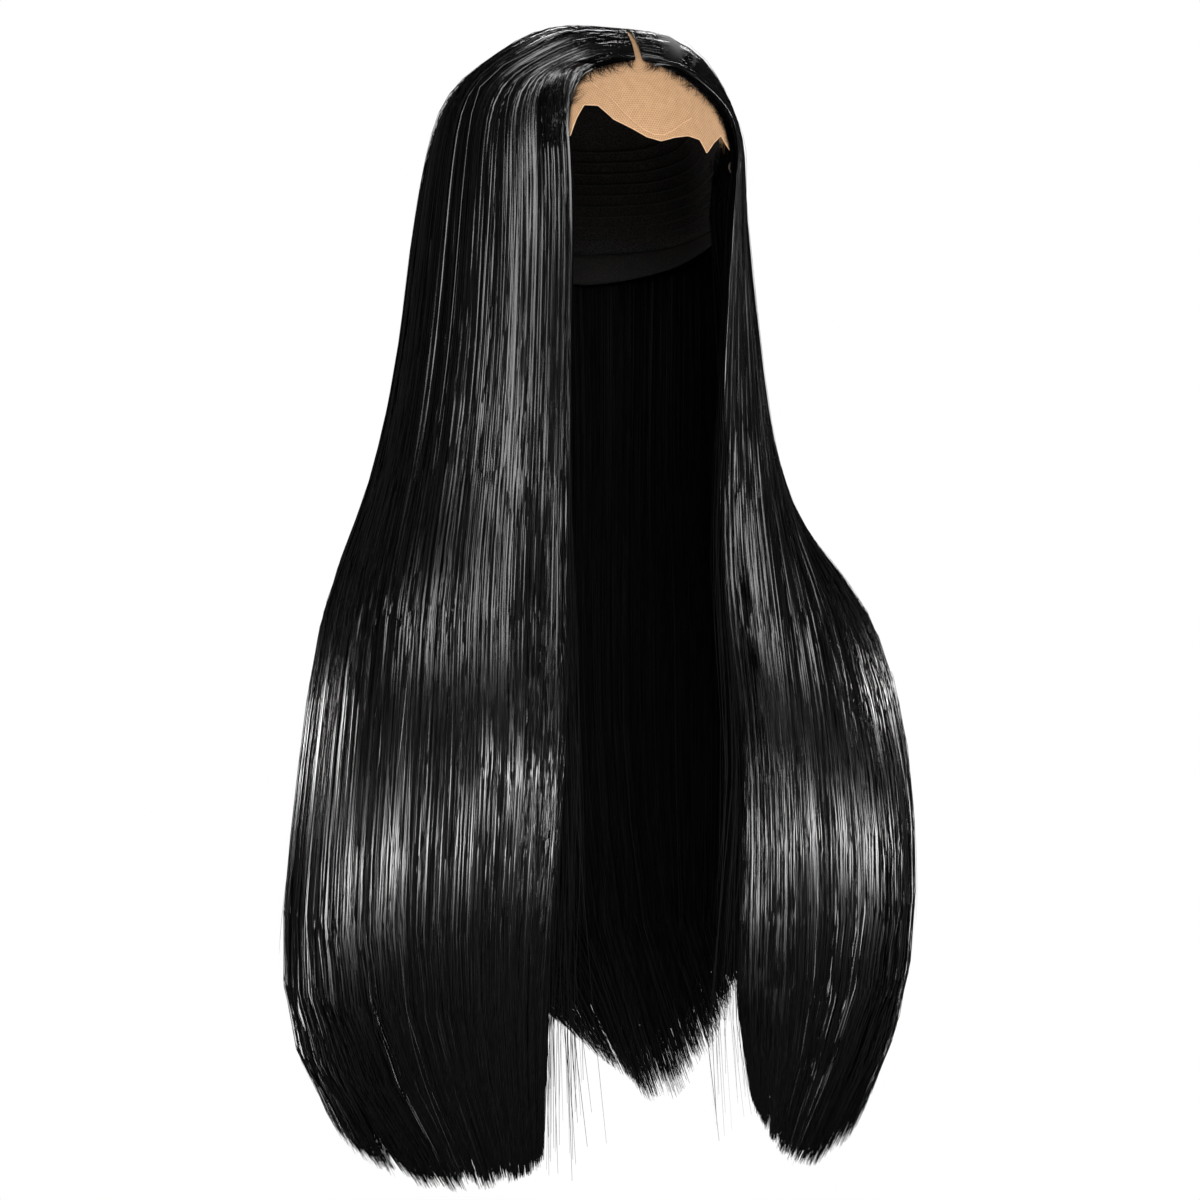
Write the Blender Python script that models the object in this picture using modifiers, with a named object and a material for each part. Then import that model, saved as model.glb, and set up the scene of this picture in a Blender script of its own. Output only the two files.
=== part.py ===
"""Long straight lace front wig with a centre parting.

Metres, +Z up. The wig faces -Y and the wearer's left is +X. The origin is the top of the head
inside the cap, where the head carries the wig. Hair is modelled as locks: each lock is one solid
lofted from the parting to its tips, between guide lines that fall over the shoulders and the back.
"""
import math

import bmesh
import bpy
from mathutils import Vector

MM = 0.001

# Head form that the cap fits: a squarish ellipsoid whose top is the origin
HEAD_HALF_BREADTH = 73 * MM
HEAD_HALF_LENGTH = 94 * MM
HEAD_UPPER_HEIGHT = 95 * MM
HEAD_LOWER_HEIGHT = 125 * MM
HEAD_SQUARENESS = 2.1
HEAD_CENTRE = Vector((0.0, 0.0, -HEAD_UPPER_HEIGHT))

# The cap's own pole leans back to the crown, and its pieces are laid out round that pole
CROWN_LEAN = math.radians(35)
CAP_WALL = 1.0 * MM
PIECE_GAP = 0.5 * MM
RIM_SEARCH = (math.radians(45), math.radians(160))
RIM_SEARCH_STEPS = 40

# Lace: its free edge, as turn in degrees from the face's centre and drop in millimetres below the
# top of the head, and the seam where the cap starts
LACE_EDGE = (
    (-84, 80), (-66, 78), (-52, 77), (-40, 79), (-30, 80), (-26, 70), (-22, 62), (-17, 63),
    (-12, 72), (-6, 77), (0, 82), (6, 84), (12, 81), (18, 79), (24, 80), (29, 87), (33, 79),
    (38, 73), (44, 77), (51, 79), (66, 78), (84, 80),
)
LACE_END_TURN = 84
LACE_TURN_STEPS = 42
LACE_DEPTH_STEPS = 5
SEAM_ANGLE_CENTRE = 15
SEAM_ANGLE_END = 78
SEAM_SPREAD = 1.3

# Stretch cap behind the lace, with its rim from ear to nape as turn and drop
CAP_RIM = ((87, 104), (110, 112), (140, 118), (180, 120))
CAP_FRONT_STEPS = 14
CAP_BACK_STEPS = 18
CAP_DEPTH_STEPS = 8

# Nape band under the cap's rim
BAND_START_TURN = 98
BAND_STEPS = 20
BAND_HEIGHT_CENTRE = 20 * MM
BAND_HEIGHT_END = 12 * MM

# Sheer tab in front of each ear, from its forward tip to the cap, as turn, top drop and bottom drop
TAB = ((50, 88.0, 90.5), (56, 81.0, 93), (64, 78.7, 97), (74, 79.5, 101), (83, 80.5, 104))
TAB_ROWS = 3

# Hair: how high it stands off the head form, and where each guide line hangs, in millimetres
HAIR_SEAT = 1.75 * MM
SEATED_DEPTH = 150 * MM
ROOT_LIFT = 6.5 * MM
LEVELS = (("ear", -105), ("neck", -200), ("collar", -290), ("shoulder", -350),
          ("chest", -450), ("waist", -580))
GUIDE_COLUMNS = ("name", "root", "turn", "drop", "lifts", "thick", "ear", "neck", "collar",
                 "shoulder", "chest", "waist", "tip")
# root is (out from the parting, along it). turn and drop are where the guide leaves the head, lifts
# are its distance off the head half way there and there. Every later pair is (outwards from the
# middle, towards the back) at that level, and the tip also has its height.
FRONT_RIGHT = (
    ("edge", (3, -80), 27, 58, (8, 8), 7, (42, -82), (44, -84), (46, -92),
     (46, -105), (37, -124), (58, -118), (76, -108, -664)),
    ("front", (3, -62), 50, 62, (16, 27), 20, (84, -72), (89, -79), (99, -94),
     (108, -114), (112, -132), (118, -128), (98, -114, -670)),
    ("side_front", (3, -34), 75, 62, (22, 40), 26, (113, -30), (124, -42), (141, -64),
     (160, -92), (170, -106), (177, -110), (142, -104, -680)),
    ("side", (3, -4), 101, 62, (23, 43), 20, (120, 24), (133, 12), (155, -14),
     (182, -38), (198, -48), (207, -55), (185, -66, -642)),
)
FRONT_LEFT = (
    ("edge", (3, -80), 48, 74, (6, 7), 5, (64, -55), (58, -56), (53, -63),
     (52, -75), (61, -90), (55, -94), (66, -86, -645)),
    ("front", (3, -62), 63, 68, (7, 9), 16, (75, -36), (81, -42), (85, -58),
     (88, -80), (94, -102), (95, -106), (84, -94, -666)),
    ("side_front", (3, -34), 84, 66, (9, 10), 22, (83, -8), (92, -14), (104, -30),
     (131, -60), (150, -84), (150, -92), (113, -86, -674)),
    ("side", (3, -4), 107, 64, (9, 13), 18, (88, 28), (95, 24), (108, 8),
     (155, -16), (184, -28), (182, -36), (150, -52, -650)),
)
BACK_RIGHT = (
    ("back_side", (3, -4), 101, 62, (23, 43), 14, (120, 24), (132, 19), (134, 34),
     (136, 48), (136, 58), (128, 65), (108, 72, -560)),
    ("back_mid", (3, 20), 127, 66, (20, 36), 20, (98, 74), (96, 68), (94, 68),
     (96, 78), (94, 84), (80, 86), (48, 88, -606)),
    ("back_inner", (8, 33), 158, 68, (15, 25), 18, (44, 108), (40, 95), (38, 91),
     (38, 98), (34, 101), (18, 101), (-18, 98, -654)),
)
BACK_CENTRE = ("back_centre", (0, 38), 180, 68, (13, 21), 18, (0, 116), (0, 102), (0, 97),
               (1, 104), (5, 106), (20, 105), (52, 101, -674))
BACK_LEFT = (
    ("back_inner", (8, 33), 158, 68, (13, 20), 18, (44, 106), (40, 95), (38, 91),
     (39, 98), (40, 101), (56, 101), (84, 98, -646)),
    ("back_mid", (3, 20), 130, 66, (11, 17), 20, (84, 72), (84, 66), (84, 68),
     (94, 78), (96, 84), (94, 86), (108, 88, -600)),
    ("back_side", (3, -4), 107, 64, (9, 13), 14, (88, 28), (95, 27), (102, 36),
     (118, 48), (124, 58), (124, 66), (120, 74, -556)),
)

# Lofting: samples along each span of a guide, thickness left at each level, and the lock's form
SPAN_SAMPLES = (4, 4, 2, 3, 3, 3, 3, 3, 4)
HEAD_SPANS = 2
LEVEL_FULLNESS = (1.0, 1.0, 1.0, 1.0, 1.0, 0.95, 0.9, 0.85, 0.7, 0.22)
LOCK_STEPS = 4
LOCK_RIDGE = 4.5 * MM
RIDGE_GROWTH_END = 0.55
LOCK_SIDE_GAP = 0.026
EDGE_GAP = 0.045
TIP_TAPER = 0.075
TIP_TAPER_START = 0.70
FRONT_CUTS = (0.0, 1.0, 1.5, 2.0, 2.5, 3.0)
BACK_CUTS = (0.0, 1.0, 2.0, 3.0, 4.0, 5.0, 6.0)

# Materials: name, colour and roughness
HAIR = ("black_hair", (0.012, 0.011, 0.012, 1.0), 0.35)
NUDE_LACE = ("nude_lace", (0.62, 0.42, 0.28, 1.0), 0.8)
CAP_NET = ("black_cap_net", (0.03, 0.028, 0.028, 1.0), 0.85)
BROWN_SHEER = ("brown_sheer", (0.10, 0.06, 0.04, 1.0), 0.8)


def clear_scene():
    """Remove what the opened file holds."""
    for obj in list(bpy.data.objects):
        bpy.data.objects.remove(obj, do_unlink=True)


def make_material(name, color, roughness):
    """Principled material of one colour."""
    material = bpy.data.materials.new(name)
    material.use_nodes = True
    shader = material.node_tree.nodes["Principled BSDF"]
    shader.inputs["Base Color"].default_value = color
    shader.inputs["Roughness"].default_value = roughness
    shader.inputs["Metallic"].default_value = 0.0
    material.diffuse_color = color
    return material


def head_point(direction, lift=0.0):
    """Point of the head form in a direction from its centre, lifted off it."""
    ray = direction.normalized()
    height = HEAD_UPPER_HEIGHT if ray.z >= 0 else HEAD_LOWER_HEIGHT
    total = sum(abs(part / half) ** HEAD_SQUARENESS
                for part, half in zip(ray, (HEAD_HALF_BREADTH, HEAD_HALF_LENGTH, height)))
    return HEAD_CENTRE + ray * (total ** (-1.0 / HEAD_SQUARENESS) + lift)


def cap_direction(turn, angle):
    """Direction at a turn from the face round the crown pole, and an angle down from that pole."""
    flat = Vector((math.sin(angle) * math.sin(turn), -math.sin(angle) * math.cos(turn),
                   math.cos(angle)))
    lean_cos = math.cos(CROWN_LEAN)
    lean_sin = math.sin(CROWN_LEAN)
    return Vector((flat.x, flat.y * lean_cos + flat.z * lean_sin,
                   flat.z * lean_cos - flat.y * lean_sin))


def angle_at_drop(turn, drop):
    """Angle from the crown pole at which the head form lies a drop below its top."""
    low, high = RIM_SEARCH
    for _ in range(RIM_SEARCH_STEPS):
        middle = (low + high) / 2
        if head_point(cap_direction(turn, middle)).z > -drop:
            low = middle
        else:
            high = middle
    return (low + high) / 2


def read_table(rows, value, column=1):
    """Value of a column where the first column passes a value, between straight rows."""
    for before, after in zip(rows, rows[1:]):
        if value <= after[0]:
            share = max(0.0, (value - before[0]) / (after[0] - before[0]))
            return before[column] + (after[column] - before[column]) * share
    return rows[-1][column]


def seam_angle(turn_degrees):
    """Angle of the seam between lace and cap at a turn."""
    share = (abs(turn_degrees) / LACE_END_TURN) ** SEAM_SPREAD
    return math.radians(SEAM_ANGLE_CENTRE + (SEAM_ANGLE_END - SEAM_ANGLE_CENTRE) * share)


def wall_piece(name, rows, material, collection, closed=False, pole=None):
    """Cloth wall over a grid of points on the head form, thickened outwards."""
    mesh = bpy.data.meshes.new(name)
    shape = bmesh.new()
    grid = [[shape.verts.new(point) for point in row] for row in rows]
    pairs = list(zip(grid, grid[1:]))
    if closed:
        pairs.append((grid[-1], grid[0]))
    for here, there in pairs:
        for step in range(len(here) - 1):
            shape.faces.new((here[step], here[step + 1], there[step + 1], there[step]))
    if pole is not None:
        top = shape.verts.new(pole)
        for here, there in pairs:
            shape.faces.new((top, here[0], there[0]))
    bmesh.ops.recalc_face_normals(shape, faces=shape.faces)
    middle = shape.faces[:][len(shape.faces) // 2]
    if middle.normal.dot(middle.calc_center_median() - HEAD_CENTRE) < 0:
        bmesh.ops.reverse_faces(shape, faces=shape.faces)
    shape.to_mesh(mesh)
    shape.free()
    piece = bpy.data.objects.new(name, mesh)
    collection.objects.link(piece)
    mesh.materials.append(material)
    mesh.shade_smooth()
    thick = piece.modifiers.new("wall", "SOLIDIFY")
    thick.thickness = CAP_WALL
    thick.offset = 1.0
    return piece


def grid_between(turns, upper, lower, steps):
    """Rows of head points, one for each turn in degrees, from an upper to a lower angle."""
    rows = []
    for turn_degrees in turns:
        turn = math.radians(turn_degrees)
        top = upper(turn_degrees)
        bottom = lower(turn_degrees)
        rows.append([head_point(cap_direction(turn, top + (bottom - top) * step / steps))
                     for step in range(steps + 1)])
    return rows


def even_steps(start, end, steps):
    """Evenly spaced values from start to end, both included."""
    return [start + (end - start) * step / steps for step in range(steps + 1)]


def lace_edge_angle(turn_degrees):
    """Angle of the lace's free edge at a turn."""
    return angle_at_drop(math.radians(turn_degrees), read_table(LACE_EDGE, turn_degrees) * MM)


def cap_rim_angle(turn_degrees):
    """Angle of the cap's rim at a turn on either side."""
    around = 180 - abs(180 - turn_degrees % 360)
    return angle_at_drop(math.radians(turn_degrees), read_table(CAP_RIM, around) * MM)


def gap_angle():
    """Angle that the gap between two pieces takes on the head form."""
    return PIECE_GAP / HEAD_UPPER_HEIGHT


def build_lace(material, collection):
    """Lace front, a crescent from ear to ear."""
    turns = even_steps(-LACE_END_TURN, LACE_END_TURN, LACE_TURN_STEPS)
    rows = grid_between(turns, seam_angle, lace_edge_angle, LACE_DEPTH_STEPS)
    return wall_piece("lace_front", rows, material, collection)


def build_cap(material, collection):
    """Stretch cap from the lace's seam over the crown to its rim."""
    front = even_steps(-LACE_END_TURN, LACE_END_TURN, CAP_FRONT_STEPS)
    back = even_steps(CAP_RIM[0][0], 360 - CAP_RIM[0][0], CAP_BACK_STEPS)
    turns = front + back

    def lower(turn_degrees):
        if abs(turn_degrees) <= LACE_END_TURN:
            return seam_angle(turn_degrees) - gap_angle()
        return cap_rim_angle(turn_degrees)

    def upper(turn_degrees):
        return lower(turn_degrees) / CAP_DEPTH_STEPS

    rows = grid_between(turns, upper, lower, CAP_DEPTH_STEPS - 1)
    pole = head_point(cap_direction(0.0, 0.0))
    return wall_piece("cap_dome", rows, material, collection, closed=True, pole=pole)


def build_nape_band(material, collection):
    """Plain band under the rim at the back."""
    turns = even_steps(BAND_START_TURN, 360 - BAND_START_TURN, BAND_STEPS)

    def upper(turn_degrees):
        return cap_rim_angle(turn_degrees) + gap_angle()

    def lower(turn_degrees):
        share = abs(180 - turn_degrees) / (180 - BAND_START_TURN)
        height = BAND_HEIGHT_CENTRE + (BAND_HEIGHT_END - BAND_HEIGHT_CENTRE) * share
        return upper(turn_degrees) + height / HEAD_UPPER_HEIGHT

    return wall_piece("nape_band", grid_between(turns, upper, lower, 1), material, collection)


def build_ear_tab(side_name, side, material, collection):
    """Sheer tab in front of one ear."""
    rows = []
    for turn_degrees, top_mm, bottom_mm in TAB:
        turn = math.radians(turn_degrees * side)
        top = angle_at_drop(turn, top_mm * MM)
        bottom = angle_at_drop(turn, bottom_mm * MM)
        rows.append([head_point(cap_direction(turn, top + (bottom - top) * row / TAB_ROWS))
                     for row in range(TAB_ROWS + 1)])
    return wall_piece("ear_tab_" + side_name, rows, material, collection)


def spline_point(points, span, share):
    """Point on a smooth curve through unevenly spaced points."""
    before = points[max(span - 1, 0)]
    start = points[span]
    end = points[span + 1]
    after = points[min(span + 2, len(points) - 1)]
    length = (end - start).length
    into = (start - before).length
    out = (after - end).length
    slope_start = (end - before) * (length / (length + into)) if span > 0 else end - start
    slope_end = (after - start) * (length / (length + out)) if span + 2 < len(points) else end - start
    square = share * share
    cube = square * share
    return (start * (2 * cube - 3 * square + 1) + slope_start * (cube - 2 * square + share)
            + end * (3 * square - 2 * cube) + slope_end * (cube - square))


def level_value(values, span, share):
    """Value between two levels of a guide."""
    return values[span] + (values[span + 1] - values[span]) * share


def guide_samples(row, side):
    """Samples along one guide: point, lift off the head, thickness and head share."""
    guide = dict(zip(GUIDE_COLUMNS, row))
    out, along = guide["root"]
    root_ray = Vector((out * MM * side, along * MM, 0.0)) - HEAD_CENTRE
    root_ray.z = head_height(root_ray.x, root_ray.y) - HEAD_CENTRE.z
    leave_ray = head_ray_at(math.radians(guide["turn"]) * side, guide["drop"] * MM)
    middle_ray = root_ray.normalized().slerp(leave_ray.normalized(), 0.5)
    lifts = [ROOT_LIFT] + [lift * MM for lift in guide["lifts"]]
    points = [head_point(ray, lift)
              for ray, lift in zip((root_ray, middle_ray, leave_ray), lifts)]
    for level, height in LEVELS:
        out, back = guide[level]
        points.append(Vector((out * side, back, height)) * MM)
    out, back, height = guide["tip"]
    points.append(Vector((out * side, back, height)) * MM)
    samples = []
    for span, count in enumerate(SPAN_SAMPLES):
        for step in range(count + (span == len(SPAN_SAMPLES) - 1)):
            share = step / count
            on_head = span < HEAD_SPANS
            lift = level_value(lifts, span, share) if on_head else lifts[-1]
            samples.append({
                "point": spline_point(points, span, share),
                "lift": lift,
                "thick": guide["thick"] * MM * level_value(LEVEL_FULLNESS, span, share),
                "head": 1.0 if on_head else max(0.0, 1.0 - (span - HEAD_SPANS + share)),
            })
    return samples


def head_height(across, along):
    """Height of the head form over a place on its upper half."""
    left = 1.0 - (abs(across) / HEAD_HALF_BREADTH) ** HEAD_SQUARENESS
    left -= (abs(along) / HEAD_HALF_LENGTH) ** HEAD_SQUARENESS
    return HEAD_CENTRE.z + HEAD_UPPER_HEIGHT * max(left, 0.0) ** (1.0 / HEAD_SQUARENESS)


def head_ray_at(turn, drop):
    """Direction from the head's centre to its surface at a level turn and a drop."""
    share = min(abs(-drop - HEAD_CENTRE.z) / HEAD_UPPER_HEIGHT, 1.0)
    across = abs(math.sin(turn) / HEAD_HALF_BREADTH) ** HEAD_SQUARENESS
    along = abs(math.cos(turn) / HEAD_HALF_LENGTH) ** HEAD_SQUARENESS
    reach = ((1.0 - share ** HEAD_SQUARENESS) / (across + along)) ** (1.0 / HEAD_SQUARENESS)
    return Vector((math.sin(turn) * reach, -math.cos(turn) * reach, -drop - HEAD_CENTRE.z))


def blend_guides(chain, place, index):
    """Sample of the hair sheet at a place across its guides."""
    span = min(int(place), len(chain) - 2)
    share = place - span
    values = {}
    for key in ("point", "lift", "thick", "head"):
        before = chain[max(span - 1, 0)][index][key]
        start = chain[span][index][key]
        end = chain[span + 1][index][key]
        after = chain[min(span + 2, len(chain) - 1)][index][key]
        slope_start = (end - before) * (0.5 if span > 0 else 1.0)
        slope_end = (after - start) * (0.5 if span + 2 < len(chain) else 1.0)
        square = share * share
        cube = square * share
        values[key] = (start * (2 * cube - 3 * square + 1)
                       + slope_start * (cube - 2 * square + share)
                       + end * (3 * square - 2 * cube) + slope_end * (cube - square))
    ray = values["point"] - HEAD_CENTRE
    on_head = head_point(ray, values["lift"])
    share_head = min(values["head"], 1.0)
    values["point"] = values["point"].lerp(on_head, share_head)
    return values


def outward_direction(point):
    """Direction away from the head's centre, or from the middle line below it."""
    ray = point - HEAD_CENTRE
    ray.z = max(ray.z, 0.0)
    return ray.normalized()


def sheet_pair(chain, place, index, ridge):
    """Outer and inner point of the hair at a place across and a sample along."""
    here = blend_guides(chain, place, index)
    outward = outward_direction(here["point"])
    seat = head_point(here["point"] - HEAD_CENTRE, HAIR_SEAT)
    inner = (here["point"] - outward * here["thick"]).lerp(seat, min(here["head"], 1.0))
    if inner.z > -SEATED_DEPTH:
        hollow = head_point(inner - HEAD_CENTRE, HAIR_SEAT)
        if (inner - HEAD_CENTRE).length < (hollow - HEAD_CENTRE).length:
            inner = hollow
    return here["point"] + outward * ridge, inner


def sample_along(chain, place, position, ridge):
    """Outer and inner point at a fractional position along the samples."""
    last = len(chain[0]) - 1
    index = min(int(position), last - 1)
    share = position - index
    start = sheet_pair(chain, place, index, ridge)
    end = sheet_pair(chain, place, index + 1, ridge)
    return start[0].lerp(end[0], share), start[1].lerp(end[1], share)


def lock_section(chain, cut, index):
    """Ring of points round one lock at a sample along it."""
    last = len(chain[0]) - 1
    share = index / last
    growth = min(share / RIDGE_GROWTH_END, 1.0)
    outer = []
    inner = []
    for step in range(LOCK_STEPS + 1):
        across = step / LOCK_STEPS
        place = cut[0] + (cut[1] - cut[0]) * across
        bow = 1.0 - (2 * across - 1) ** 2
        shortening = TIP_TAPER * (1.0 - bow) * max(0.0, (share - TIP_TAPER_START)
                                                   / (1.0 - TIP_TAPER_START))
        position = index - shortening * last
        pair = sample_along(chain, place, position, LOCK_RIDGE * growth * bow)
        outer.append(pair[0])
        inner.append(pair[1])
    return outer + inner[::-1]


def build_lock(name, chain, cut, material, collection):
    """One lock of hair lofted through its sections, closed at root and tips."""
    mesh = bpy.data.meshes.new(name)
    shape = bmesh.new()
    rings = [[shape.verts.new(point) for point in lock_section(chain, cut, index)]
             for index in range(len(chain[0]))]
    for here, there in zip(rings, rings[1:]):
        for step, vert in enumerate(here):
            following = (step + 1) % len(here)
            shape.faces.new((vert, here[following], there[following], there[step]))
    for ring in (rings[0], rings[-1]):
        for step in range(LOCK_STEPS):
            back = len(ring) - 1 - step
            shape.faces.new((ring[step], ring[step + 1], ring[back - 1], ring[back]))
    bmesh.ops.recalc_face_normals(shape, faces=shape.faces)
    if shape.calc_volume(signed=True) < 0:
        bmesh.ops.reverse_faces(shape, faces=shape.faces)
    shape.to_mesh(mesh)
    shape.free()
    lock = bpy.data.objects.new(name, mesh)
    collection.objects.link(lock)
    mesh.materials.append(material)
    mesh.shade_smooth()
    return lock


def inset_cuts(cuts, chain_length):
    """Places where each lock starts and ends, with the gap between neighbours."""
    spans = []
    for start, end in zip(cuts, cuts[1:]):
        low = start + (LOCK_SIDE_GAP if start > 0 else 0.0)
        high = end - (LOCK_SIDE_GAP if end < chain_length - 1 else 0.0)
        spans.append((low, high))
    return spans


def build_hair(material, collection):
    """All the locks, right and left front and back."""
    for side_name, side, rows in (("right", -1, FRONT_RIGHT), ("left", 1, FRONT_LEFT)):
        chain = [guide_samples(row, side) for row in rows]
        spans = inset_cuts(FRONT_CUTS, len(chain))
        spans[-1] = (spans[-1][0], spans[-1][1] - EDGE_GAP)
        for number, cut in enumerate(spans, start=1):
            build_lock(f"lock_front_{side_name}_{number}", chain, cut, material, collection)
    back = [guide_samples(row, -1) for row in BACK_RIGHT]
    back.append(guide_samples(BACK_CENTRE, 1))
    back.extend(guide_samples(row, 1) for row in BACK_LEFT)
    spans = inset_cuts(BACK_CUTS, len(back))
    spans[0] = (spans[0][0] + EDGE_GAP, spans[0][1])
    spans[-1] = (spans[-1][0], spans[-1][1] - EDGE_GAP)
    for number, cut in enumerate(spans, start=1):
        build_lock(f"lock_back_{number}", back, cut, material, collection)


def main():
    """Build every piece of the wig."""
    clear_scene()
    collection = bpy.data.collections.new("lace_front_wig")
    bpy.context.scene.collection.children.link(collection)
    hair = make_material(*HAIR)
    net = make_material(*CAP_NET)
    sheer = make_material(*BROWN_SHEER)
    build_lace(make_material(*NUDE_LACE), collection)
    build_cap(net, collection)
    build_nape_band(net, collection)
    for side_name, side in (("right", -1), ("left", 1)):
        build_ear_tab(side_name, side, sheer, collection)
    build_hair(hair, collection)


main()
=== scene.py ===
"""Looks of the long straight lace front wig: strands of hair, lace, cap and a soft studio.

Metres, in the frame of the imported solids: +Z up, the wig faces -Y, the wearer's left is +X.
The hair's guide lines follow those of the part's source, drawn closer to the photograph.
"""
import math

import bpy
import numpy as np
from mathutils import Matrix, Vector


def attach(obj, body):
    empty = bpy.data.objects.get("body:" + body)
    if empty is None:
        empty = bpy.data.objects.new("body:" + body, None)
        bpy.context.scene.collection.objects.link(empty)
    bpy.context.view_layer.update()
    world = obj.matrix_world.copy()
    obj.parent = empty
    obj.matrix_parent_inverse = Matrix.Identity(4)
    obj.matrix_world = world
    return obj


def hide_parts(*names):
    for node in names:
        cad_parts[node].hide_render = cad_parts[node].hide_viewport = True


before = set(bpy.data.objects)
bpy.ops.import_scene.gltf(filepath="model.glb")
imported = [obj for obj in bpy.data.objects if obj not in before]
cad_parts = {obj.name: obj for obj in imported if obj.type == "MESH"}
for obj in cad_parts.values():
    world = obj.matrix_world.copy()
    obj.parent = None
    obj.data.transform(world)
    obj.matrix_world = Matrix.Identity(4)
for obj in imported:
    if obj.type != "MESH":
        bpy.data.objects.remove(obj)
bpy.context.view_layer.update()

MM = 0.001

# Head form inside the cap
HEAD_HALVES_UP = np.array((73, 94, 95)) * MM
HEAD_HALVES_DOWN = np.array((73, 94, 125)) * MM
HEAD_SQUARENESS = 2.1
HEAD_CENTRE = np.array((0.0, 0.0, -95 * MM))
CROWN_LEAN = math.radians(35)

# Lace edge and cap rim, as turn in degrees from the front and drop in millimetres
LACE_EDGE = np.array((
    (-84, 80), (-66, 78), (-52, 77), (-40, 79), (-30, 80), (-26, 70), (-22, 62), (-17, 63),
    (-12, 72), (-6, 77), (0, 82), (6, 84), (12, 81), (18, 79), (24, 80), (29, 87), (33, 79),
    (38, 73), (44, 77), (51, 79), (66, 78), (84, 80)), float)
LACE_END_TURN = 84
LACE_CREASE = np.array(((-19, 46), (-16, 52), (-12, 59), (-9, 66), (-5, 73), (-1, 78), (3, 80.5),
                        (7, 80.5), (11, 77), (15, 72), (19, 68)), float)
CAP_RIM = np.array(((87, 104), (110, 112), (140, 118), (180, 120)), float)
SEAM_ANGLES = (15, 78)
SEAM_SPREAD = 1.3
TAB = np.array(((50, 88.0, 90.5), (56, 81.0, 93), (64, 78.7, 97), (74, 79.5, 101),
                (83, 80.5, 104)))
BAND_START_TURN = 98
BAND_HEIGHTS = (20 * MM, 12 * MM)
BAND_GAP = 0.5 * MM

# Cloth: lift off the head form, wall, and the colours and cells of the nets
CLOTH_LIFT = 0.5 * MM
CLOTH_WALL = 0.9 * MM
CLOTH_CELLS = 900.0
CAP_COLOR = (0.010, 0.009, 0.009)
CAP_CELLS = 520.0
BAND_COLOR = (0.008, 0.0075, 0.0075)
TAB_COLOR = (0.075, 0.040, 0.024)
TAB_EDGE_COLOR = (0.02, 0.014, 0.012)
TAB_EDGE_LIFT = 0.6 * MM
TAB_EDGE_RADIUS = 0.45 * MM
WEFT_COLOR = (0.012, 0.011, 0.011)
WEFT_CELLS = 1200.0
WEFT_ROWS = 9
WEFT_LIFT = -0.6 * MM
WEFT_RADIUS = 0.9 * MM

# Lace net: cell, thread width, lift, how far it reaches round and down, and its two cords
LACE_CELL = 1.5 * MM
LACE_THREAD_WIDTH = 0.17 * MM
LACE_THREAD_LIFT = 1.1 * MM
LACE_NET_RADIUS = 90 * MM
LACE_NET_TURN = 62
LACE_NET_TOP_DROP = 28 * MM
LACE_NET_DEPTH = 62 * MM
LACE_CUT_EDGE = (0.8 * MM, 0.3 * MM)
LACE_CREASE_CORD = (1.0 * MM, 0.22 * MM)

# Guide lines of the hair in millimetres: root, turn and drop where it leaves the head, lifts off
# the head, thickness, then (out, along) at each level and the tip
HAIR_SEAT = 1.75 * MM
ROOT_LIFT = 6.5 * MM
LEVELS = (("ear", -105), ("neck", -200), ("collar", -290), ("shoulder", -350),
          ("chest", -450), ("waist", -580))
GUIDE_COLUMNS = ("name", "root", "turn", "drop", "lifts", "thick", "ear", "neck", "collar",
                 "shoulder", "chest", "waist", "tip")
FRONT_RIGHT = (
    ("edge", (3, -74), 30, 46, (6, 8), 7, (42, -82), (44, -84), (46, -92),
     (49, -105), (55, -124), (64, -118), (64, -108, -664)),
    ("front", (3, -60), 50, 62, (14, 27), 20, (84, -72), (89, -79), (99, -94),
     (108, -114), (112, -132), (118, -128), (98, -114, -670)),
    ("side_front", (3, -34), 75, 62, (19, 38), 26, (113, -30), (124, -42), (141, -64),
     (160, -92), (170, -106), (177, -110), (142, -104, -668)),
    ("side", (3, -4), 101, 62, (20, 41), 20, (120, 24), (133, 12), (155, -14),
     (182, -38), (198, -48), (210, -55), (205, -64, -642)),
)
FRONT_LEFT = (
    ("edge", (3, -74), 46, 66, (5, 7), 5, (64, -55), (58, -56), (53, -63),
     (52, -75), (61, -90), (55, -94), (66, -86, -645)),
    ("front", (3, -62), 63, 68, (7, 9), 16, (75, -36), (81, -42), (85, -58),
     (88, -80), (94, -102), (95, -106), (84, -94, -666)),
    ("side_front", (3, -34), 84, 66, (9, 10), 22, (83, -8), (92, -14), (104, -30),
     (131, -60), (150, -84), (150, -92), (113, -86, -674)),
    ("side", (3, -4), 107, 64, (9, 13), 18, (88, 28), (95, 24), (110, 8),
     (162, -16), (187, -28), (186, -36), (164, -50, -652)),
)
BACK_RIGHT = (
    ("back_side", (3, -4), 101, 62, (23, 43), 14, (120, 24), (132, 19), (134, 34),
     (136, 48), (136, 58), (128, 65), (108, 72, -560)),
    ("back_mid", (3, 20), 127, 66, (20, 36), 20, (98, 74), (96, 68), (94, 68),
     (96, 78), (94, 84), (80, 86), (48, 88, -606)),
    ("back_inner", (8, 33), 158, 68, (15, 25), 18, (44, 108), (40, 95), (38, 91),
     (38, 98), (34, 101), (18, 101), (-18, 98, -654)),
)
BACK_CENTRE = ("back_centre", (0, 38), 180, 68, (13, 21), 18, (0, 116), (0, 102), (0, 97),
               (1, 104), (5, 106), (20, 105), (52, 101, -674))
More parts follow.
